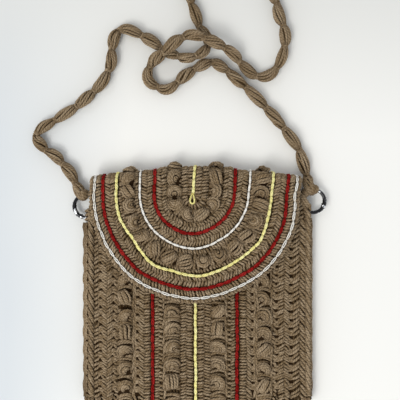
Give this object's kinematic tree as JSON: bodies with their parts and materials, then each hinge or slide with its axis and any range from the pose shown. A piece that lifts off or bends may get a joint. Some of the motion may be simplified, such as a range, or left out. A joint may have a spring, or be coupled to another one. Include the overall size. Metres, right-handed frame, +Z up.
{
  "type": "crochet shoulder bag",
  "caption": "Flat crochet shoulder bag with a horseshoe flap folded to the front, raised bobble columns, a ring at each top corner and a long puff-stitch cord strap.",
  "frame": {"origin": "on the surface the bag lies on, under the middle of the bag and its rings, the strap not counted", "axes": "+X across the bag to its right side as seen from the front, +Y from the bottom edge to the fold, +Z up out of the front"},
  "size_m": [0.264, 0.5025, 0.0263],
  "materials": {
    "taupe_yarn": "matt worsted yarn, crocheted",
    "black_metal": "polished black plating",
    "red_yarn": "matt red yarn, surface chain",
    "yellow_yarn": "matt pale yellow yarn, surface chain",
    "white_yarn": "matt cream white yarn, surface chain"
  },
  "bodies": {
    "root": {"back_panel": "taupe_yarn", "front_panel": "taupe_yarn", "flap": "taupe_yarn", "edge_left": "taupe_yarn", "edge_right": "taupe_yarn", "edge_bottom": "taupe_yarn", "ring_tab_left": "taupe_yarn", "ring_tab_right": "taupe_yarn", "strap_end_left": "taupe_yarn", "strap_end_right": "taupe_yarn", "strap": "taupe_yarn", "ring_left": "black_metal", "ring_right": "black_metal"}
  },
  "joints": []
}
